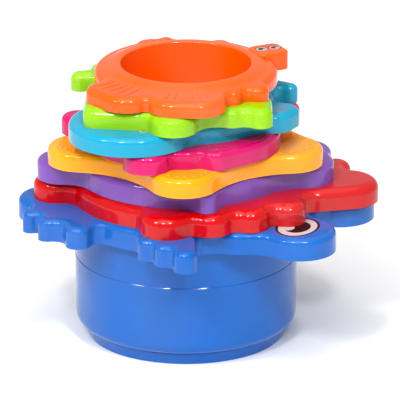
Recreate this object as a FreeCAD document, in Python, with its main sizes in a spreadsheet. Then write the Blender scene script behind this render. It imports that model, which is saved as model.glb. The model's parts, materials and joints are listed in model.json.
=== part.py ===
import FreeCAD, Part
import math
import os
from collections import namedtuple
import Sketcher

# Stacking cup tower: eight nesting cups, each with an animal-shaped flange round its rim.
# The cups stand inside one another, and each flange rests on the flange of the cup below.
# Millimetres. +Z is up, the origin is on the common axis of the cups, under the largest one.

# ---------------------------------------------------------------- driving dimensions

SIZES = {
    "cup_radius": 45.0,        # outside of the largest cup at its rim
    "cup_step": 2.5,           # each cup's radius is this much less than the one it stands in
    "wall": 1.4,               # side wall of every cup
    "floor_thick": 2.0,        # floor of every cup
    "draft": 0.7,              # degrees that the side wall leans out
    "first_depth": 50.0,       # largest cup, from its foot to the underside of its flange
    "depth_step": 3.0,         # each cup is this much shallower than the one it stands in
    "foot_inset": 5.1,         # the foot's radius is this much less than the rim's
    "ledge_inset": 3.5,        # edge of the ledge above the foot, less than the rim's radius
    "foot_rise": 4.7,          # height at which the rounded lower corner starts
    "corner": 4.5,             # rounding of the lower corner
    "ledge_out": 0.5,          # width of that ledge
    "step_rise": 33.8,         # height of the fine step in a cup's side, largest cup
    "step_out": 0.2,           # how far the side stands out below that step
    "step_slope": 0.3,         # height of the step's sloping face
    "pad_radius": 12.0,        # flat pad in the middle of the underside
    "foot_band": 4.0,          # flat band round the edge of the underside
    "base_recess": 0.6,        # shallow ring between the pad and the band
    "tall_flange": 8.8,        # height of the three lowest flanges
    "low_flange": 7.5,         # height of the other flanges
    "skirt": 1.8,              # wall of every flange's skirt
    "deck": 2.0,               # top of every flange
    "rim_round": 0.6,          # rounded inner edge of every rim
    "label_sink": 0.4,         # depth of the recess that an eye label lies in
    "label_thick": 0.3,        # thickness of an eye label
    "label_gap": 0.15,         # clearance round an eye label
    "star_dip": 4.6,           # nearest that the starfish's edge comes to the cup's wall
    "fin_height": 6.0,         # the fish's fins are lower than its lip
    "lip_width": 3.0,          # flat of the fish's lip
    "crown_width": 8.0,        # the fish's back, from its bore to the foot of the slope
    "crown_foot": 0.5,         # how far the slope's foot sinks into the fins' top
    "head_long": 14.0,         # fish head, along the radius
    "head_wide": 13.0,         # fish head, across
    "head_corner": 3.4,        # rounded upright corners of the fish head
    "head_round": 1.0,         # rounded top edge of the fish head
    "head_reach": 16.5,        # outermost face of the fish head, from the cup's wall
    "head_turn": 27.0,         # direction of the fish head
    "head_floor": 1.2,         # deck over the fish head
}

# An outline is a closed chain of round lobes, taken anticlockwise. Each lobe belongs to a limb
# that points away from the cup's axis. Its place is the limb's direction in degrees, how far
# out from the cup's wall its centre is, and how far to the left of the limb's own line. Then
# come its own radius and the radius of the hollow web that leads on to the next lobe: 0 is a
# straight run, and None takes the web from star_dip. A lobe placed at RING is a stretch of a
# circle round the cup's axis, and its radius is how far that stands out from the cup's wall.
Lobe = namedtuple("Lobe", "turn out side round web")
Eye = namedtuple("Eye", "name turn out side wide long heading")
Cup = namedtuple("Cup", "name flange edge lobes eyes")
RING = None


def ring(height, web):
    return Lobe(0, RING, 0, height, web)


def both_sides(axis, half, tail_web, tail=None, head=None):
    """An animal that is alike on both sides of an axis; half runs from its tail to its head."""
    chain = [tail._replace(web=tail_web)] if tail else []
    chain += half
    if head:
        chain.append(head._replace(web=half[-1].web))
    for number in reversed(range(len(half))):
        lobe = half[number]
        web = half[number - 1].web if number else tail_web
        chain.append(lobe._replace(turn=2 * axis - lobe.turn, side=-lobe.side, web=web))
    return chain


def eye_pair(axis, out, side, wide, long, heading=0):
    """Two oval eye labels, one each side of an animal's axis; heading is that of their length."""
    return [
        Eye("left_eye", axis, out, side, wide, long, axis + heading),
        Eye("right_eye", axis, out, -side, wide, long, axis - heading),
    ]


FROG = both_sides(-23, [
    # hind foot: thigh and three toes
    Lobe(-155, 6, -20.6, 12.5, 5),
    Lobe(-155, 20.1, -6.8, 3.3, 2.4),
    Lobe(-155, 17.8, 4.4, 3.8, 5),
    Lobe(-155, 10, 16.8, 5, 4),
    ring(4, 6),
    # front foot
    Lobe(-94, 8.8, -11.4, 3.6, 3),
    Lobe(-94, 14.9, -4.2, 3.9, 3.2),
    Lobe(-94, 21.3, 4.6, 4.6, 0),
    Lobe(-94, 8.9, 3.8, 4.6, 3),
    ring(4, 8),
    # jaw and eye
    Lobe(-23, -11, -22.9, 15, 12),
    Lobe(-23, 12.8, -21, 14.5, 7),
], 5, tail=ring(4, 5))
CRAB = both_sides(43, [
    # four legs
    Lobe(-88, 3.6, -9, 10.5, 4),
    Lobe(-88, 2.8, 8, 8.6, 4.5),
    Lobe(-40, 3.6, -15, 7.2, 4),
    Lobe(-40, 10.5, 0, 7, 6),
    # claw
    Lobe(-3, 9.8, -11.1, 10, 0),
    Lobe(-3, 22.3, -4.5, 12.8, 3),
    Lobe(-3, 17.4, 16, 6, 10),
], 6, tail=ring(4.3, 6), head=Lobe(43, -2, 0, 17, 0))
# The last leg trails further out than the one across from it.
CRAB[-1] = Lobe(174, 8.5, 9.9, 9.5, 6)
DOLPHIN = [
    Lobe(-173, 10, 0, 10, 12),          # head
    ring(4.5, 14),
    Lobe(-80, 7, 0, 4.2, 14),           # flipper
    ring(3, 20),
    Lobe(-10, 7.5, 0, 12.5, 10),        # fluke
    Lobe(5, 6.2, 0, 12.5, 20),
    ring(3, 14),
    Lobe(94, 7, 0, 4.2, 14),            # far flipper
    ring(4.5, 12),
]
STARFISH = [Lobe(-91 + 72 * arm, 6.1, 0, 13.5, None) for arm in range(5)]
TURTLE = [
    Lobe(-130, -16.6, 0, 26, 4),        # head
    Lobe(-110, 9.6, 0, 9.5, 4),
    Lobe(-91, -1, 0, 10.5, 3),
    Lobe(-73, 6, 0, 6.5, 0),            # front flipper
    Lobe(-54, -17.5, 0, 27.5, 6),
    ring(3.4, 6),
    Lobe(21, 4, 0, 9.5, 10),            # hind flipper
    ring(3.4, 8),
    Lobe(100, 5, 0, 9, 8),              # tail
    ring(3.4, 7),
    Lobe(178, 8, 0, 7, 24),             # far flipper
]
WHALE = [
    Lobe(-129, 1.5, 0, 25, 12),         # head
    ring(3.5, 12),
    Lobe(-21, 4, 0, 9.5, 0),            # near half of the fluke
    Lobe(-16, 7.5, 0, 6.7, 4),
    ring(3.5, 4),
    Lobe(23, 13, 0, 3.2, 0),            # far half of the fluke
    Lobe(38, 4, 0, 6, 8),
    ring(3.5, 10),
    Lobe(108, 6, 0, 9, 10),             # fin
    ring(3.5, 12),
]
LIZARD = [
    Lobe(-151, 9.2, 0, 6, 0),           # snout
    Lobe(-137, 17.2, 0, 6, 0),
    Lobe(-118, 8.5, 0, 6.5, 4),
    Lobe(-97, 10.5, 0, 9.5, 9),         # cheek
    Lobe(-61, 7.5, 0, 5, 5),            # front foot
    Lobe(-49, 15, 0, 4.8, 0),
    Lobe(-38, 6, 0, 6, 6),
    ring(3.4, 6),
    Lobe(44, 6, 0, 6, 0),               # hind foot
    Lobe(54, 15, 0, 4.8, 5),
    Lobe(66, 7.5, 0, 5, 6),
    ring(3.4, 8),
    Lobe(150, 9, 0, 5, 4),              # far foot
    Lobe(166, 13.8, 0, 3.8, 6),
    ring(3.4, 12),
]
FISH = [
    Lobe(-141, 13.5, 0, 7.5, 0),        # belly fin
    Lobe(-127, 11, 0, 11, 2),
    Lobe(-96, 8.5, 0, 11.5, 0),         # side fin
    Lobe(-83, 9, 0, 11.5, 3),
    Lobe(-57, 7, 0, 3.4, 3),            # two small fins
    Lobe(-40, 9.5, 0, 4.5, 4),
    ring(9.2, 4),
    Lobe(66, 6, 0, 5, 3),
    ring(8, 3),
    Lobe(103, 8.7, 0, 4, 3),            # back fin
    Lobe(115, 4.8, 0, 7.5, 4),
    ring(9.2, 4),
]

# From the largest cup to the smallest: flange height, rounding of its outer edge, outline.
CUPS = [
    Cup("frog", "tall_flange", 2.6, FROG, eye_pair(-23, 11.7, 20.4, 16.6, 22, heading=90)),
    Cup("crab", "tall_flange", 4.0, CRAB, eye_pair(43, 4.9, 7.5, 5.5, 6.5)),
    Cup("dolphin", "tall_flange", 2.6, DOLPHIN, eye_pair(-173, 7.8, 4.2, 4, 5)),
    Cup("starfish", "low_flange", 2.6, STARFISH, []),
    Cup("turtle", "low_flange", 2.4, TURTLE, eye_pair(-110, 8.8, 3.8, 4, 5)),
    Cup("whale", "low_flange", 2.8, WHALE, eye_pair(-129, 8.1, 12.4, 5.5, 7)),
    Cup("lizard", "low_flange", 3.4, LIZARD, eye_pair(-133, 8.7, 5.1, 4.5, 5.5)),
    Cup("fish", "low_flange", 3.0, FISH, [
        Eye("inner_eye", 27, 7.3, 1.2, 5, 5.2, 27),
        Eye("outer_eye", 27, 12.8, 0.7, 4.8, 5, 27)]),
]

doc = FreeCAD.newDocument("StackingCupTower")
sheet = doc.addObject("Spreadsheet::Sheet", "Sizes")


def store(alias, amount):
    """Put one driving dimension in the next row of the sheet, under its own name."""
    store.row += 1
    sheet.set(f"A{store.row}", alias)
    sheet.set(f"B{store.row}", repr(float(amount)))
    sheet.setAlias(f"B{store.row}", alias)


store.row = 0
for alias, amount in SIZES.items():
    store(alias, amount)
for cup in CUPS:
    store(f"{cup.name}_edge", cup.edge)
    for number, lobe in enumerate(cup.lobes):
        for field, amount in zip(lobe._fields, lobe):
            if amount is not None:
                store(f"{cup.name}_{number}_{field}", amount)
    for eye in cup.eyes:
        for field, amount in zip(eye._fields[1:], eye[1:]):
            store(f"{cup.name}_{eye.name}_{field}", amount)
doc.recompute()


def rim(index):
    """Outside radius of a cup at its rim."""
    return f"(Sizes.cup_radius - {index} * Sizes.cup_step)"


def depth(index):
    """Height of the underside of a cup's flange above its own foot."""
    return f"(Sizes.first_depth - {index} * Sizes.depth_step)"


def top(index):
    """Height of a cup's rim above its own foot."""
    return f"({depth(index)} + Sizes.{CUPS[index].flange})"


def seat(index):
    """Height at which a cup's foot stands when its flange rests on the cup below."""
    flanges = [f"Sizes.{cup.flange}" for cup in CUPS[:index]]
    return " + ".join([f"{index} * Sizes.depth_step"] + flanges)


def limb_point(index, name):
    """Where a lobe or an eye of a cup is: x and y from its turn, out and side."""
    reach = f"({rim(index)} + {name}_out)"
    x = f"{reach} * cos({name}_turn) - {name}_side * sin({name}_turn)"
    y = f"{reach} * sin({name}_turn) + {name}_side * cos({name}_turn)"
    return x, y


def value(expression):
    """What an expression over the sheet comes to."""
    result = sheet.evalExpression(expression)
    return float(getattr(result, "Value", result))


# ---------------------------------------------------------------- sketches and features

def new_body(label, height):
    body = doc.addObject("PartDesign::Body", label)
    body.Label = label
    body.setExpression("Placement.Base.z", height)
    return body


def new_sketch(body, name, plane, height=None):
    """A sketch on one of the body's own planes, raised by a height over the XY plane."""
    sketch = body.newObject("Sketcher::SketchObject", f"{body.Label}_{name}")
    base = [feature for feature in body.Origin.OriginFeatures if feature.Role == plane]
    sketch.AttachmentSupport = [(base[0], "")]
    sketch.MapMode = "FlatFace"
    if height:
        sketch.setExpression("AttachmentOffset.Base.z", height)
    return sketch


def hold(sketch, kind, places, expression):
    """Add one dimension to a sketch and bind it to the sheet."""
    amount = value(expression)
    if kind == "Angle":
        amount = math.radians(amount)
    index = sketch.addConstraint(Sketcher.Constraint(kind, *places, amount))
    sketch.renameConstraint(index, f"{kind}_{index}")
    if kind == "Angle":
        expression = f"({expression}) * 1 deg"
    sketch.setExpression(f"Constraints.{kind}_{index}", expression)


def add_circle(sketch, radius):
    circle = Part.Circle(FreeCAD.Vector(0, 0, 0), FreeCAD.Vector(0, 0, 1), value(radius))
    index = sketch.addGeometry(circle)
    sketch.addConstraint(Sketcher.Constraint("Coincident", index, 3, -1, 1))
    hold(sketch, "Radius", (index,), radius)


def add_polygon(sketch, corners):
    """A closed run of straight lines through corners given as pairs of expressions."""
    points = [FreeCAD.Vector(value(x), value(y), 0) for x, y in corners]
    first = sketch.GeometryCount
    count = len(points)
    for number, point in enumerate(points):
        sketch.addGeometry(Part.LineSegment(point, points[(number + 1) % count]))
    for number in range(count):
        following = first + (number + 1) % count
        sketch.addConstraint(Sketcher.Constraint("Coincident", first + number, 2, following, 1))
    for number, (x, y) in enumerate(corners):
        hold(sketch, "DistanceX", (first + number, 1), x)
        hold(sketch, "DistanceY", (first + number, 1), y)


def bearing(start, end):
    return math.atan2(end.y - start.y, end.x - start.x)


def meeting(one, other):
    """Where the run from one lobe to the next leaves the first and reaches the second.

    Each lobe is (centre, radius, web). The third value is the centre of the web's arc.
    """
    centre, radius, web = one
    next_centre, next_radius, _ = other
    span = centre.distanceToPoint(next_centre)
    along = (next_centre - centre) / span
    outward = FreeCAD.Vector(along.y, -along.x, 0)
    if web == 0:
        lean = (radius - next_radius) / span
        normal = along * lean + outward * math.sqrt(1 - lean * lean)
        return centre + normal * radius, next_centre + normal * next_radius, None
    reach = radius + web
    next_reach = next_radius + web
    step = (reach ** 2 - next_reach ** 2 + span ** 2) / (2 * span)
    hub = centre + along * step + outward * math.sqrt(reach ** 2 - step ** 2)
    leave = centre + (hub - centre) * (radius / reach)
    arrive = next_centre + (hub - next_centre) * (next_radius / next_reach)
    return leave, arrive, hub


def add_outline(sketch, lobes):
    """A closed chain of tangent arcs; each lobe is the expressions of x, y, radius and web.

    x and y are None for a lobe centred on the cup's axis, and web is None for a straight run.
    """
    placed = []
    for x, y, radius, web in lobes:
        centre = FreeCAD.Vector(value(x), value(y), 0) if x else FreeCAD.Vector(0, 0, 0)
        placed.append((centre, value(radius), value(web) if web else 0))
    count = len(placed)
    runs = [meeting(placed[number], placed[(number + 1) % count]) for number in range(count)]
    upward = FreeCAD.Vector(0, 0, 1)
    first = sketch.GeometryCount
    for number, (centre, radius, _) in enumerate(placed):
        leave, arrive, hub = runs[number]
        start = bearing(centre, runs[number - 1][1])
        end = bearing(centre, leave)
        sketch.addGeometry(Part.ArcOfCircle(Part.Circle(centre, upward, radius), start, end))
        if hub:
            web = Part.Circle(hub, upward, placed[number][2])
            arc = Part.ArcOfCircle(web, bearing(hub, arrive), bearing(hub, leave))
            sketch.addGeometry(arc)
        else:
            sketch.addGeometry(Part.LineSegment(leave, arrive))
    for number, (x, y, radius, web) in enumerate(lobes):
        arc = first + 2 * number
        run = arc + 1
        following = first + 2 * ((number + 1) % count)
        near, far = (2, 1) if web else (1, 2)
        sketch.addConstraint(Sketcher.Constraint("Tangent", arc, 2, run, near))
        sketch.addConstraint(Sketcher.Constraint("Tangent", run, far, following, 1))
        hold(sketch, "Radius", (arc,), radius)
        if web:
            hold(sketch, "Radius", (run,), web)
        if x:
            hold(sketch, "DistanceX", (arc, 3), x)
            hold(sketch, "DistanceY", (arc, 3), y)
        else:
            sketch.addConstraint(Sketcher.Constraint("Coincident", arc, 3, -1, 1))


def star_web(index, lobe):
    """Radius of the hollow between two arms of the starfish, so that it comes to star_dip."""
    reach = f"({rim(index)} + {lobe}_out)"
    deepest = f"({rim(index)} + Sizes.star_dip)"
    half = f"cos(180 / {len(CUPS[index].lobes)})"
    across = f"({reach} ^ 2 + {deepest} ^ 2 - 2 * {reach} * {deepest} * {half})"
    return f"({across} - {lobe}_round ^ 2) / (2 * ({lobe}_round + {reach} * {half} - {deepest}))"


def animal_outline(index, inset="0"):
    """The lobes of a cup's flange as expressions, drawn in from the outline by an inset."""
    cup = CUPS[index]
    lobes = []
    for number, lobe in enumerate(cup.lobes):
        name = f"Sizes.{cup.name}_{number}"
        if lobe.web is None:
            web = f"{star_web(index, name)} + {inset}"
        else:
            web = f"{name}_web + {inset}" if lobe.web else None
        if lobe.out is RING:
            lobes.append((None, None, f"{rim(index)} + {name}_round - {inset}", web))
        else:
            lobes.append((*limb_point(index, name), f"{name}_round - {inset}", web))
    return lobes


def head_outline(index, inset="0"):
    """The four rounded corners of the fish's head, which points away from the cup's axis."""
    lobes = []
    side = "(Sizes.head_wide / 2 - Sizes.head_corner)"
    outer = f"({rim(index)} + Sizes.head_reach - Sizes.head_corner)"
    inner = f"({outer} - Sizes.head_long + 2 * Sizes.head_corner)"
    for along, across in ((outer, f"-{side}"), (outer, side), (inner, side), (inner, f"-{side}")):
        x = f"{along} * cos(Sizes.head_turn) - ({across}) * sin(Sizes.head_turn)"
        y = f"{along} * sin(Sizes.head_turn) + ({across}) * cos(Sizes.head_turn)"
        lobes.append((x, y, f"Sizes.head_corner - {inset}", None))
    return lobes


def add_oval(sketch, index, eye, spare="0"):
    """An eye's oval on a cup's top, larger all round by a spare width."""
    name = f"Sizes.{CUPS[index].name}_{eye.name}"
    x, y = limb_point(index, name)
    length = f"{name}_long + 2 * {spare}"
    width = f"{name}_wide + 2 * {spare}"
    centre = FreeCAD.Vector(value(x), value(y), 0)
    angle = math.radians(eye.heading)
    along = FreeCAD.Vector(math.cos(angle), math.sin(angle), 0)
    across = FreeCAD.Vector(-along.y, along.x, 0)
    half_length = value(length) / 2
    half_width = value(width) / 2
    oval = Part.Ellipse(centre + along * half_length, centre + across * half_width, centre)
    index = sketch.addGeometry(oval)
    sketch.exposeInternalGeometry(index)
    hold(sketch, "DistanceX", (index, 3), x)
    hold(sketch, "DistanceY", (index, 3), y)
    hold(sketch, "Distance", (index + 1,), length)
    hold(sketch, "Distance", (index + 2,), width)
    hold(sketch, "Angle", (index + 1,), f"{name}_heading")


def add_pad(body, name, sketch, length):
    pad = body.newObject("PartDesign::Pad", f"{body.Label}_{name}")
    pad.Profile = sketch
    pad.setExpression("Length", length)
    return pad


def add_pocket(body, name, sketch, length, upward):
    """A pocket, which has to take material away."""
    doc.recompute()
    before = body.Shape.Volume
    pocket = body.newObject("PartDesign::Pocket", f"{body.Label}_{name}")
    pocket.Profile = sketch
    pocket.Reversed = upward
    pocket.setExpression("Length", length)
    doc.recompute()
    if body.Shape.Volume > before - 1e-3:
        raise RuntimeError(f"{body.Label}: {name} cuts nothing")
    return pocket


def add_fillet(body, name, radius, chosen):
    """Round the edges of the body that a test chooses."""
    doc.recompute()
    feature = body.Tip
    edges = [f"Edge{number}" for number, edge in enumerate(feature.Shape.Edges, 1) if chosen(edge)]
    if not edges:
        raise RuntimeError(f"{body.Label}: {name} has no edge to round")
    fillet = body.newObject("PartDesign::Fillet", f"{body.Label}_{name}")
    fillet.Base = (feature, edges)
    fillet.setExpression("Radius", radius)
    return fillet


def level_edge(height, inner, outer):
    """A test for edges that lie at one height, between two distances from the axis."""
    def chosen(edge):
        box = edge.BoundBox
        if abs(box.ZMin - height) > 1e-4 or abs(box.ZMax - height) > 1e-4:
            return False
        start, end = edge.ParameterRange
        middle = edge.valueAt((start + end) / 2)
        return inner < math.hypot(middle.x, middle.y) < outer
    return chosen


# ---------------------------------------------------------------- the cups

def add_side(body, index):
    """The cup itself, turned about its axis: foot, ledge, rounded corner and leaning side."""
    sketch = new_sketch(body, "side", "XZ_Plane")
    radius = rim(index)
    height = top(index)
    lean = "tan(Sizes.draft)"
    hub_z = "(Sizes.foot_rise + Sizes.corner)"
    hub_x = (f"({radius} + Sizes.step_out - ({height} - {hub_z}) * {lean}"
             f" - Sizes.corner / cos(Sizes.draft))")
    inner_corner = "(Sizes.corner - Sizes.step_out - Sizes.wall)"
    foot = f"({radius} - Sizes.foot_inset)"
    ledge = f"({radius} - Sizes.ledge_inset)"
    step = f"(Sizes.step_rise - {index} * Sizes.depth_step)"
    band = f"({foot} - Sizes.foot_band)"

    def on_corner(x, corner):
        return f"{hub_z} - sqrt({corner} ^ 2 - ({x} - {hub_x}) ^ 2)"

    def corner_end(corner):
        return (f"{hub_x} + {corner} * cos(Sizes.draft)", f"{hub_z} - {corner} * sin(Sizes.draft)")

    def on_side(z):
        return f"{radius} - ({height} - {z}) * {lean}"

    ledge_in = f"({ledge} - Sizes.ledge_out)"
    ledge_z = on_corner(ledge_in, "Sizes.corner")
    step_end = f"({step} + Sizes.step_slope)"
    inner_ledge = f"({ledge} - Sizes.wall)"
    outline = [
        ("0", "0"),
        ("Sizes.pad_radius", "0"),
        ("Sizes.pad_radius", "Sizes.base_recess"),
        (band, "Sizes.base_recess"),
        (band, "0"),
        (foot, "0"),
        (ledge, ledge_z),
        (ledge_in, ledge_z),
        corner_end("Sizes.corner"),
        (f"{on_side(step)} + Sizes.step_out", step),
        (on_side(step_end), step_end),
        (radius, height),
        (f"{radius} - Sizes.wall / cos(Sizes.draft)", height),
        corner_end(inner_corner),
        (inner_ledge, on_corner(inner_ledge, inner_corner)),
        (f"{foot} - Sizes.wall", "Sizes.floor_thick"),
        ("0", "Sizes.floor_thick"),
    ]
    outer_arc = 7
    inner_arc = 13
    rounded = {outer_arc: "Sizes.corner", inner_arc: inner_corner}
    hub = FreeCAD.Vector(value(hub_x), value(hub_z), 0)
    points = [FreeCAD.Vector(value(x), value(y), 0) for x, y in outline]
    count = len(points)
    for number, point in enumerate(points):
        following = points[(number + 1) % count]
        if number in rounded:
            circle = Part.Circle(hub, FreeCAD.Vector(0, 0, 1), value(rounded[number]))
            sweep = sorted((bearing(hub, point), bearing(hub, following)))
            sketch.addGeometry(Part.ArcOfCircle(circle, *sweep))
        else:
            sketch.addGeometry(Part.LineSegment(point, following))
    ends = {number: (1, 2) for number in range(count)}
    ends[inner_arc] = (2, 1)
    for number in range(count):
        following = (number + 1) % count
        places = (number, ends[number][1], following, ends[following][0])
        sketch.addConstraint(Sketcher.Constraint("Coincident", *places))
    for number, (x, y) in enumerate(outline):
        hold(sketch, "DistanceX", (number, ends[number][0]), x)
        hold(sketch, "DistanceY", (number, ends[number][0]), y)
    for number, corner in rounded.items():
        hold(sketch, "Radius", (number,), corner)
    turned = body.newObject("PartDesign::Revolution", f"{body.Label}_turned")
    turned.Profile = sketch
    turned.ReferenceAxis = (sketch, ["V_Axis"])
    turned.Angle = 360
    return turned


def add_crown(body, index):
    """The fish's back: a flat lip round the bore, and a slope from it down to the fins."""
    sketch = new_sketch(body, "crown", "XZ_Plane")
    bore = f"({rim(index)} - Sizes.wall / cos(Sizes.draft))"
    foot = f"({depth(index)} + Sizes.fin_height - Sizes.crown_foot)"
    middle = f"({rim(index)} - Sizes.wall / 2)"
    corners = [
        (middle, foot),
        (f"{bore} + Sizes.crown_width", foot),
        (f"{bore} + Sizes.lip_width", top(index)),
        (middle, top(index)),
    ]
    add_polygon(sketch, corners)
    crown = body.newObject("PartDesign::Revolution", f"{body.Label}_crown")
    crown.Profile = sketch
    crown.ReferenceAxis = (sketch, ["V_Axis"])
    crown.Angle = 360
    return crown


def build_cup(index):
    cup = CUPS[index]
    fish = cup.name == "fish"
    body = new_body(f"{cup.name}_cup", seat(index))
    add_side(body, index)
    flange = "Sizes.fin_height" if fish else f"Sizes.{cup.flange}"
    sketch = new_sketch(body, "outline", "XY_Plane", depth(index))
    add_outline(sketch, animal_outline(index))
    add_circle(sketch, f"{rim(index)} - Sizes.wall / 2")
    add_pad(body, "flange", sketch, flange)
    flange_top = value(f"{depth(index)} + {flange}")
    wall_out = value(rim(index))
    add_fillet(body, "edge", f"Sizes.{cup.name}_edge",
               level_edge(flange_top, wall_out + 0.5, 1e3))
    if fish:
        add_crown(body, index)
        sketch = new_sketch(body, "head", "XY_Plane", depth(index))
        add_outline(sketch, head_outline(index))
        add_pad(body, "head_block", sketch, f"Sizes.{cup.flange}")
        crown_out = wall_out + value("Sizes.lip_width")
        add_fillet(body, "head_edge", "Sizes.head_round",
                   level_edge(value(top(index)), crown_out, 1e3))
    add_fillet(body, "rim", "Sizes.rim_round",
               level_edge(value(top(index)), 0, wall_out - value("Sizes.wall") / 2))
    sketch = new_sketch(body, "hollow", "XY_Plane", depth(index))
    add_outline(sketch, animal_outline(index, "Sizes.skirt"))
    add_circle(sketch, rim(index))
    add_pocket(body, "underside", sketch, f"{flange} - Sizes.deck", True)
    if fish:
        sketch = new_sketch(body, "head_hollow", "XY_Plane", depth(index))
        add_outline(sketch, head_outline(index, "Sizes.skirt"))
        add_pocket(body, "head_inside", sketch, f"Sizes.{cup.flange} - Sizes.head_floor", True)
    for eye in cup.eyes:
        sketch = new_sketch(body, f"{eye.name}_seat", "XY_Plane", top(index))
        add_oval(sketch, index, eye, "Sizes.label_gap")
        add_pocket(body, f"{eye.name}_recess", sketch, "Sizes.label_sink", False)
    return body


def build_eye(index, eye):
    label = new_body(f"{CUPS[index].name}_{eye.name}", seat(index))
    sketch = new_sketch(label, "oval", "XY_Plane", f"{top(index)} - Sizes.label_sink")
    add_oval(sketch, index, eye)
    add_pad(label, "sheet", sketch, "Sizes.label_thick")
    return label


bodies = []
for index, cup in enumerate(CUPS):
    bodies.append(build_cup(index))
    for eye in cup.eyes:
        bodies.append(build_eye(index, eye))
doc.recompute()

for item in doc.Objects:
    if {"Invalid", "Error"} & set(item.State):
        raise RuntimeError(f"{item.Label}: {item.State}")
for body in bodies:
    if body.Shape.isNull() or not body.Shape.isValid() or len(body.Shape.Solids) != 1:
        raise RuntimeError(f"{body.Label}: bad shape")

os.makedirs("parts", exist_ok=True)
for body in bodies:
    body.Shape.exportStep(f"parts/{body.Label}.step")
    print(f"{body.Label}: {body.Shape.Volume / 1000:.2f} cm3")
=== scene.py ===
import json
import math

import bmesh
import bpy
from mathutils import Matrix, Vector

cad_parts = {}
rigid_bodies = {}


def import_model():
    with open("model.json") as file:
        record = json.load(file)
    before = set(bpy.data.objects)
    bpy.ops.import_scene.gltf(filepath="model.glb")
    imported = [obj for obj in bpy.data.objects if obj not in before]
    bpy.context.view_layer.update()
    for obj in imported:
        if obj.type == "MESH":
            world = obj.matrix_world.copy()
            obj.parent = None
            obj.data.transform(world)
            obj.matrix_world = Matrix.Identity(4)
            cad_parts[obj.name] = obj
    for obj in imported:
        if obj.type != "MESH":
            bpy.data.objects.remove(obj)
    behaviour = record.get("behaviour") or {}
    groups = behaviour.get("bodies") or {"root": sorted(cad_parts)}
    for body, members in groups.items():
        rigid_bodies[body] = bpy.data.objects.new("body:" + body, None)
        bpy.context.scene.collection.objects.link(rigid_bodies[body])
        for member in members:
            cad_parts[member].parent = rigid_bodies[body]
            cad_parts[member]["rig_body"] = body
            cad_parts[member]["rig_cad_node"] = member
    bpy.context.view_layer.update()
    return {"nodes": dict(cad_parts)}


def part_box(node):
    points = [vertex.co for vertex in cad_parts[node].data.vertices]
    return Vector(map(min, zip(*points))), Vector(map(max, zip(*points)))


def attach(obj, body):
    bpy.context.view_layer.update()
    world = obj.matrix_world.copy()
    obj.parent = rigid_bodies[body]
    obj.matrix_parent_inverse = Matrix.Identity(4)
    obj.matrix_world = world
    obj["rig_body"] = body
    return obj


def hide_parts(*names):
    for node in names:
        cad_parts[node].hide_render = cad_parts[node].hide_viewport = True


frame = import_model()

MM = 0.001

# Stacking cup tower: eight glossy nesting cups, each with an animal's outline round its rim,
# printed eye labels, a dotted starfish, a fish with ribbed fins and a turtle with a lined flipper.

# From the largest cup to the smallest: animal, colour of its plastic (sRGB), slot.
CUPS = [
    ("frog", (18, 92, 176), "blue_plastic"),
    ("crab", (190, 1, 6), "red_plastic"),
    ("dolphin", (116, 72, 160), "violet_plastic"),
    ("starfish", (246, 156, 6), "yellow_plastic"),
    ("turtle", (196, 2, 94), "magenta_plastic"),
    ("whale", (30, 150, 184), "sky_blue_plastic"),
    ("lizard", (136, 194, 20), "green_plastic"),
    ("fish", (240, 88, 5), "orange_plastic"),
]

# Printed eye labels: CAD node, its width and length in mm, the direction of its length, and
# which end of the pupil the glint is at.
LABELS = [
    ("frog_left_eye", 16.6, 22.0, 67, -1),
    ("frog_right_eye", 16.6, 22.0, -113, 1),
    ("crab_left_eye", 5.5, 6.5, 43, 1),
    ("crab_right_eye", 5.5, 6.5, 43, 1),
    ("dolphin_left_eye", 4.0, 5.0, -173, 1),
    ("dolphin_right_eye", 4.0, 5.0, -173, 1),
    ("turtle_left_eye", 4.0, 5.0, -110, 1),
    ("turtle_right_eye", 4.0, 5.0, -110, 1),
    ("whale_left_eye", 5.5, 7.0, -129, 1),
    ("whale_right_eye", 5.5, 7.0, -129, 1),
    ("lizard_left_eye", 4.5, 5.5, -133, 1),
    ("lizard_right_eye", 4.5, 5.5, -133, 1),
    ("fish_inner_eye", 5.0, 5.2, 27, 1),
    ("fish_outer_eye", 4.8, 5.0, 27, 1),
]


def linear(colour):
    """An sRGB colour of 0 to 255 as the linear colour that a shader takes."""
    shares = [c / 255 for c in colour]
    return [c / 12.92 if c <= 0.04045 else ((c + 0.055) / 1.055) ** 2.4 for c in shares] + [1]


def pick(obj):
    bpy.ops.object.select_all(action="DESELECT")
    obj.select_set(True)
    bpy.context.view_layer.objects.active = obj


def settle(obj, name):
    """Name a finished piece and put its place into its mesh."""
    pick(obj)
    bpy.ops.object.transform_apply(location=True, rotation=True, scale=True)
    obj.name = name
    obj.data.name = name
    return obj


# ---------------------------------------------------------------- materials

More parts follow.
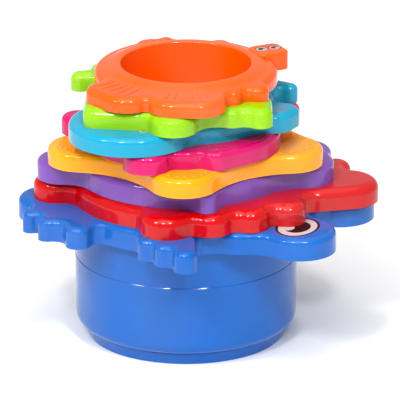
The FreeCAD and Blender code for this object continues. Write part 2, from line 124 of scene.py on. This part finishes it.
def moulding_group():
    """Injection-moulded plastic: faint clouding of its colour, uneven gloss and orange peel."""
    group = bpy.data.node_groups.new("moulded_surface", "ShaderNodeTree")
    sockets = group.interface
    sockets.new_socket("Plastic", in_out="INPUT", socket_type="NodeSocketColor")
    sockets.new_socket("Gloss", in_out="INPUT", socket_type="NodeSocketFloat")
    sockets.new_socket("Colour", in_out="OUTPUT", socket_type="NodeSocketColor")
    sockets.new_socket("Roughness", in_out="OUTPUT", socket_type="NodeSocketFloat")
    sockets.new_socket("Height", in_out="OUTPUT", socket_type="NodeSocketFloat")
    nodes, links = group.nodes, group.links
    given = nodes.new("NodeGroupInput")
    made = nodes.new("NodeGroupOutput")
    place = nodes.new("ShaderNodeTexCoord")

    def noise(scale, detail):
        texture = nodes.new("ShaderNodeTexNoise")
        texture.inputs["Scale"].default_value = scale
        texture.inputs["Detail"].default_value = detail
        links.new(place.outputs["Object"], texture.inputs["Vector"])
        return texture

    def stretch(source, low, high):
        spread = nodes.new("ShaderNodeMapRange")
        spread.inputs["From Min"].default_value = 0.3
        spread.inputs["From Max"].default_value = 0.7
        spread.inputs["To Min"].default_value = low
        spread.inputs["To Max"].default_value = high
        links.new(source.outputs["Fac"], spread.inputs["Value"])
        return spread.outputs["Result"]

    clouds = noise(35, 2)
    tint = nodes.new("ShaderNodeHueSaturation")
    links.new(given.outputs["Plastic"], tint.inputs["Color"])
    links.new(stretch(clouds, 0.95, 1.05), tint.inputs["Value"])
    links.new(stretch(noise(22, 1), 0.97, 1.03), tint.inputs["Saturation"])
    links.new(tint.outputs["Color"], made.inputs["Colour"])
    gloss = nodes.new("ShaderNodeMath")
    gloss.operation = "MULTIPLY"
    links.new(given.outputs["Gloss"], gloss.inputs[0])
    links.new(stretch(noise(120, 3), 0.85, 1.15), gloss.inputs[1])
    links.new(gloss.outputs["Value"], made.inputs["Roughness"])
    links.new(noise(900, 2).outputs["Fac"], made.inputs["Height"])
    return group


def plastic(name, colour, surface, gloss=0.12):
    material = bpy.data.materials.new(name)
    material.use_nodes = True
    nodes, links = material.node_tree.nodes, material.node_tree.links
    shader = nodes["Principled BSDF"]
    moulded = nodes.new("ShaderNodeGroup")
    moulded.node_tree = surface
    moulded.inputs["Plastic"].default_value = linear(colour)
    moulded.inputs["Gloss"].default_value = gloss
    bump = nodes.new("ShaderNodeBump")
    bump.inputs["Strength"].default_value = 0.25
    bump.inputs["Distance"].default_value = 0.03 * MM
    links.new(moulded.outputs["Height"], bump.inputs["Height"])
    links.new(moulded.outputs["Colour"], shader.inputs["Base Color"])
    links.new(moulded.outputs["Roughness"], shader.inputs["Roughness"])
    links.new(bump.outputs["Normal"], shader.inputs["Normal"])
    shader.inputs["IOR"].default_value = 1.49
    shader.inputs["Specular IOR Level"].default_value = 0.35
    return material


surface = moulding_group()
print_white = plastic("label_white", (190, 180, 180), surface, 0.3)
print_black = plastic("label_black", (14, 10, 14), surface, 0.3)


# ---------------------------------------------------------------- cups

def moulded_cup(animal, colour, slot):
    """The cup and its flange in smooth plastic, in place of the plain CAD solid."""
    node = frame["nodes"][f"{animal}_cup"]
    pick(node)
    bpy.ops.object.duplicate()
    cup = bpy.context.object
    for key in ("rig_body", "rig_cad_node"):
        del cup[key]
    cup.parent = None
    bpy.ops.mesh.customdata_custom_splitnormals_clear()
    bpy.ops.object.mode_set(mode="EDIT")
    bpy.ops.mesh.select_all(action="SELECT")
    bpy.ops.mesh.remove_doubles(threshold=0.001 * MM)
    bpy.ops.object.mode_set(mode="OBJECT")
    bpy.ops.object.shade_smooth_by_angle(angle=math.radians(28))
    bpy.ops.object.modifier_add(type="WEIGHTED_NORMAL")
    cup.modifiers[-1].keep_sharp = True
    cup.modifiers[-1].weight = 90
    bpy.ops.object.modifier_apply(modifier=cup.modifiers[-1].name)
    cup.data.materials.clear()
    cup.data.materials.append(plastic(slot, colour, surface))
    settle(cup, f"{animal}_moulding")
    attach(cup, f"{animal}_body")
    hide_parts(f"{animal}_cup")
    return cup


mouldings = {animal: moulded_cup(animal, colour, slot) for animal, colour, slot in CUPS}


# ---------------------------------------------------------------- raised dots and ribs

FLAT_SPREAD = 0.02 * MM        # how far a flat's faces may lie from its height


def heading_vector(degrees):
    turn = math.radians(degrees)
    return Vector((math.cos(turn), math.sin(turn), 0))


def flat_outline(cup, height):
    """The outer edge of a cup's flat top at a height, as points in order round the cup."""
    mesh = bmesh.new()
    mesh.from_mesh(cup.data)
    level = {face for face in mesh.faces
             if face.normal.z > 0.999 and abs(face.calc_center_median().z - height) < FLAT_SPREAD}
    edges = {edge for face in level for edge in face.edges
             if sum(other in level for other in edge.link_faces) == 1}
    longest = []
    while edges:
        edge = min(edges, key=lambda one: one.index)
        edges.remove(edge)
        chain = [edge.verts[0], edge.verts[1]]
        while True:
            following = [one for one in chain[-1].link_edges if one in edges]
            if not following:
                break
            edges.remove(following[0])
            chain.append(following[0].other_vert(chain[-1]))
        points = [Vector((vert.co.x, vert.co.y, 0)) for vert in chain]
        if sum(point.length for point in points) > sum(point.length for point in longest):
            longest = points
    mesh.free()
    turn = sum(one.cross(other).z for one, other in zip(longest, longest[1:]))
    return longest if turn > 0 else longest[::-1]


def spaced(points, spacing):
    """Places at even spacing along a closed run of points, with the inward direction at each."""
    legs = list(zip(points, points[1:]))
    total = sum((end - start).length for start, end in legs)
    count = round(total / spacing)
    places = []
    walked = 0
    for start, end in legs:
        length = (end - start).length
        while len(places) < count and len(places) * total / count < walked + length:
            along = (end - start) / length
            place = start + along * (len(places) * total / count - walked)
            places.append((place, Vector((-along.y, along.x, 0))))
        walked += length
    return places


def copy_to(piece, place):
    """A copy of a finished small piece, with its own mesh, at another place."""
    pick(piece)
    bpy.ops.object.duplicate()
    copy = bpy.context.object
    copy.location = place
    return copy


def bead_pattern(radius):
    """A low round bead; its lower half sinks into the flat that it stands on."""
    bpy.ops.object.select_all(action="DESELECT")
    bpy.ops.mesh.primitive_uv_sphere_add(segments=20, ring_count=10, radius=radius)
    bead = bpy.context.object
    bead.scale.z = BEAD_FLATNESS
    bpy.ops.object.transform_apply(location=True, rotation=True, scale=True)
    return bead


def join_pieces(pieces, name, like):
    """Join small raised pieces into one, in the material and on the body of their cup."""
    bpy.ops.object.select_all(action="DESELECT")
    for piece in pieces:
        piece.select_set(True)
    bpy.context.view_layer.objects.active = pieces[0]
    bpy.ops.object.join()
    joined = settle(pieces[0], name)
    bpy.ops.object.shade_smooth_by_angle(angle=math.radians(50))
    joined.data.materials.clear()
    joined.data.materials.append(mouldings[like].data.materials[0])
    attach(joined, f"{like}_body")
    return joined


def covered(place, cup, reach):
    """Whether another cup stands over a place, or within reach beside it."""
    for side in range(9):
        around = heading_vector(45 * side) * (reach if side else 0)
        if cup.ray_cast(place + around - Vector((0, 0, MM)), Vector((0, 0, 1)), distance=4 * MM)[0]:
            return True
    return False


BEAD_RADIUS = 0.75 * MM
BEAD_FLATNESS = 0.6
BEAD_SPACING = 4.1 * MM
BEAD_INSET = 1.6 * MM          # from the edge of the flat top
BEAD_CLEAR = 0.3 * MM          # kept free between a bead and the turtle's flange


def starfish_beads():
    """A row of beads along the starfish's edge, as far as the turtle's flange leaves it bare."""
    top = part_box("starfish_cup")[1].z
    pattern = bead_pattern(BEAD_RADIUS)
    beads = []
    for place, inward in spaced(flat_outline(mouldings["starfish"], top), BEAD_SPACING):
        spot = place + inward * BEAD_INSET
        spot.z = top
        if not covered(spot, mouldings["turtle"], BEAD_RADIUS + BEAD_CLEAR):
            beads.append(copy_to(pattern, spot))
    bpy.data.objects.remove(pattern)
    join_pieces(beads, "starfish_dots", "starfish")


starfish_beads()


def add_rib(start, end, wide, tall):
    """A slender raised rib along a flat top, rounded over and tapering to both ends."""
    along = end - start
    bpy.ops.mesh.primitive_uv_sphere_add(segments=24, ring_count=12, radius=0.5,
                                         location=(start + end) / 2)
    rib = bpy.context.object
    rib.scale = (along.length, wide, 2 * tall)
    rib.rotation_euler.z = math.atan2(along.y, along.x)
    bpy.ops.object.transform_apply(location=True, rotation=True, scale=True)
    return rib


def reach_of(outline, degrees):
    """How far from the axis an outline lies in one direction."""
    ray = heading_vector(degrees)
    best = 0
    for start, end in zip(outline, outline[1:]):
        before, after = ray.cross(start).z, ray.cross(end).z
        if before * after <= 0 and before != after:
            crossing = start + (end - start) * (before / (before - after))
            if crossing.dot(ray) > 0:
                best = max(best, crossing.length)
    return best


# Fan of ribs on each of the fish's large fins: direction of its middle, half width and count.
FANS = [(-133, 11, 5), (-89, 12, 6), (110, 8, 4)]
FIN_DROP = 1.5 * MM            # the fins' top lies this far under the lip
RIB_WIDE = 1.0 * MM
RIB_TALL = 0.3 * MM
RIB_MARGIN = 0.8 * MM          # from the ends of a rib to the back's slope and the fin's edge


def fin_ribs():
    """Ribs that fan out over the fish's fins, from the foot of its back to their edge."""
    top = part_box("fish_cup")[1].z - FIN_DROP
    level = Vector((0, 0, top))
    edge = flat_outline(mouldings["fish"], top)
    foot = min(math.hypot(vert.co.x, vert.co.y) for vert in mouldings["fish"].data.vertices
               if abs(vert.co.z - top) < FLAT_SPREAD)
    ribs = []
    for middle_turn, half, count in FANS:
        for number in range(count):
            degrees = middle_turn + half * (2 * number / (count - 1) - 1)
            ray = heading_vector(degrees)
            start = level + ray * (foot + RIB_MARGIN)
            end = level + ray * (reach_of(edge, degrees) - RIB_MARGIN)
            ribs.append(add_rib(start, end, RIB_WIDE, RIB_TALL))
    join_pieces(ribs, "fish_fin_ribs", "fish")


fin_ribs()


def add_ridge(points, wide, tall):
    """A raised line along a flat top, rounded over."""
    curve = bpy.data.curves.new("ridge", "CURVE")
    curve.dimensions = "3D"
    curve.bevel_depth = wide / 2
    curve.bevel_resolution = 3
    curve.use_fill_caps = True
    line = curve.splines.new("POLY")
    line.points.add(len(points) - 1)
    for target, point in zip(line.points, points):
        target.co = (point.x, point.y, 0, 1)
    ridge = bpy.data.objects.new("ridge", curve)
    bpy.context.scene.collection.objects.link(ridge)
    ridge.location.z = points[0].z
    ridge.scale.z = 2 * tall / wide
    pick(ridge)
    bpy.ops.object.convert(target="MESH")
    return bpy.context.object


LINE_INSETS = (0.6, 2.8, 5.0)  # mm from the edge of the flipper's flat top
LINE_START, LINE_END = -74, -24
LINE_STEP = 1.0 * MM
LINE_WIDE = 0.9 * MM
LINE_TALL = 0.3 * MM
LINE_CLEAR = 0.8 * MM          # kept free between a line and the whale's flange


def flipper_lines():
    """Raised lines along the turtle's front flipper, as far as the whale's flange lets them."""
    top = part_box("turtle_cup")[1].z
    edge = flat_outline(mouldings["turtle"], top)
    ridges = []
    for inset in LINE_INSETS:
        line = []
        for place, inward in spaced(edge, LINE_STEP):
            spot = place + inward * inset * MM
            spot.z = top
            bearing = math.degrees(math.atan2(spot.y, spot.x))
            if LINE_START < bearing < LINE_END and not covered(spot, mouldings["whale"],
                                                               LINE_CLEAR):
                line.append(spot)
        line.sort(key=lambda spot: math.atan2(spot.y, spot.x))
        if len(line) > 4:
            ridges.append(add_ridge(line, LINE_WIDE, LINE_TALL))
    if ridges:
        join_pieces(ridges, "turtle_flipper_ridges", "turtle")


flipper_lines()


# ---------------------------------------------------------------- eye labels

def oval_sheet(centre, wide, long, heading, low, high):
    """An upright oval plate between two heights, its length along a direction."""
    place = (centre.x, centre.y, (low + high) / 2)
    bpy.ops.mesh.primitive_cylinder_add(vertices=64, radius=0.5, depth=high - low, location=place,
                                        rotation=(0, 0, math.radians(heading)))
    plate = bpy.context.object
    plate.scale = (long, wide, 1)
    bpy.ops.object.transform_apply(location=True, rotation=True, scale=True)
    return plate


def select_top(obj, height):
    """Select the faces that lie level at a height, in edit mode."""
    bpy.ops.mesh.select_all(action="DESELECT")
    bpy.ops.object.mode_set(mode="OBJECT")
    for face in obj.data.polygons:
        face.select = face.normal.z > 0.9 and abs(face.center.z - height) < 1e-6
    bpy.ops.object.mode_set(mode="EDIT")


def eye_label(name, wide, long, heading, glint_end):
    """A printed oval: black outline, pale eye, black pupil with a glint at one end."""
    wide, long = wide * MM, long * MM
    low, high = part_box(name)
    centre = (low + high) / 2
    base = oval_sheet(centre, wide, long, heading, low.z, high.z)
    base.data.materials.append(print_black)
    base.data.materials.append(print_white)
    pick(base)
    bpy.ops.object.mode_set(mode="EDIT")
    bpy.ops.mesh.select_mode(type="FACE")
    select_top(base, high.z)
    bpy.ops.mesh.inset(thickness=min(0.055 * wide, 0.9 * MM), depth=0)
    base.active_material_index = 1
    bpy.ops.object.material_slot_assign()
    bpy.ops.object.mode_set(mode="OBJECT")

    along = heading_vector(heading)
    across = Vector((-along.y, along.x, 0))
    ink = 0.02 * MM                # thickness of one printed layer
    pupil = oval_sheet(centre, 0.6 * wide, 0.6 * long, heading, high.z, high.z + ink)
    pupil.data.materials.append(print_black)
    spot = centre + glint_end * (0.1 * long * along - 0.17 * wide * across)
    glint = oval_sheet(spot, 0.26 * wide, 0.26 * long, heading, high.z, high.z + 2 * ink)
    glint.data.materials.append(print_white)
    pick(base)
    pupil.select_set(True)
    glint.select_set(True)
    bpy.ops.object.join()
    label = settle(base, f"{name}_label")
    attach(label, name.split("_")[0] + "_body")
    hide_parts(name)
    return label


for entry in LABELS:
    eye_label(*entry)


# ---------------------------------------------------------------- room, lights and camera

bpy.ops.mesh.primitive_plane_add(size=8, location=(0, 0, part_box("frog_cup")[0].z))
floor = bpy.context.object
floor.name = "floor"
paper = bpy.data.materials.new("white_paper")
paper.use_nodes = True
paper.node_tree.nodes["Principled BSDF"].inputs["Base Color"].default_value = (0.95, 0.95, 0.95, 1)
paper.node_tree.nodes["Principled BSDF"].inputs["Roughness"].default_value = 0.6
floor.data.materials.append(paper)

middle = Vector((0, 0, 58 * MM))


def softbox(name, azimuth, elevation, distance, wide, tall, power):
    """A rectangular lamp aimed at the tower; azimuth 0 is beside the camera."""
    side, rise = math.radians(azimuth), math.radians(elevation)
    back = Vector((math.sin(side) * math.cos(rise), -math.cos(side) * math.cos(rise),
                   math.sin(rise)))
    bpy.ops.object.light_add(type="AREA", location=middle + distance * back)
    lamp = bpy.context.object
    lamp.name = name
    lamp.data.shape = "RECTANGLE"
    lamp.data.size = wide
    lamp.data.size_y = tall
    lamp.data.energy = power
    lamp.rotation_euler = back.to_track_quat("Z", "Y").to_euler()
    return lamp


softbox("left_lamp", -22, 45, 1.6, 0.16, 0.22, 8)
softbox("right_lamp", 20, 45, 1.6, 0.16, 0.22, 8)
softbox("side_lamp", -56, 40, 1.6, 0.2, 0.34, 7)
softbox("top_lamp", 0, 88, 1.8, 1.6, 1.6, 6)

# Broad even light over the tower and the paper.
bpy.ops.object.light_add(type="SUN", rotation=(math.radians(32), 0, math.radians(-12)))
fill = bpy.context.object
fill.name = "soft_fill"
fill.data.energy = 1.2
fill.data.angle = math.radians(50)

world = bpy.data.worlds.new("studio")
world.use_nodes = True
world.node_tree.nodes["Background"].inputs["Color"].default_value = (1, 1, 1, 1)
world.node_tree.nodes["Background"].inputs["Strength"].default_value = 0.5
bpy.context.scene.world = world
bpy.context.scene.view_settings.view_transform = "Standard"

# The camera looks down a little on the tower, with a long lens.
ELEVATION = math.radians(19.95)
camera_up = Vector((0, math.sin(ELEVATION), math.cos(ELEVATION)))
camera_back = Vector((0, -math.cos(ELEVATION), math.sin(ELEVATION)))
aim = middle + Vector((5.63 * MM, 0, 0)) - 2.58 * MM * camera_up
bpy.ops.object.camera_add(location=aim + 2.0 * camera_back)
camera = bpy.context.object
camera.name = "camera"
camera.rotation_euler = camera_back.to_track_quat("Z", "Y").to_euler()
camera.data.lens = 446.6
camera.data.sensor_width = 36
camera.data.clip_end = 20
bpy.context.scene.camera = camera
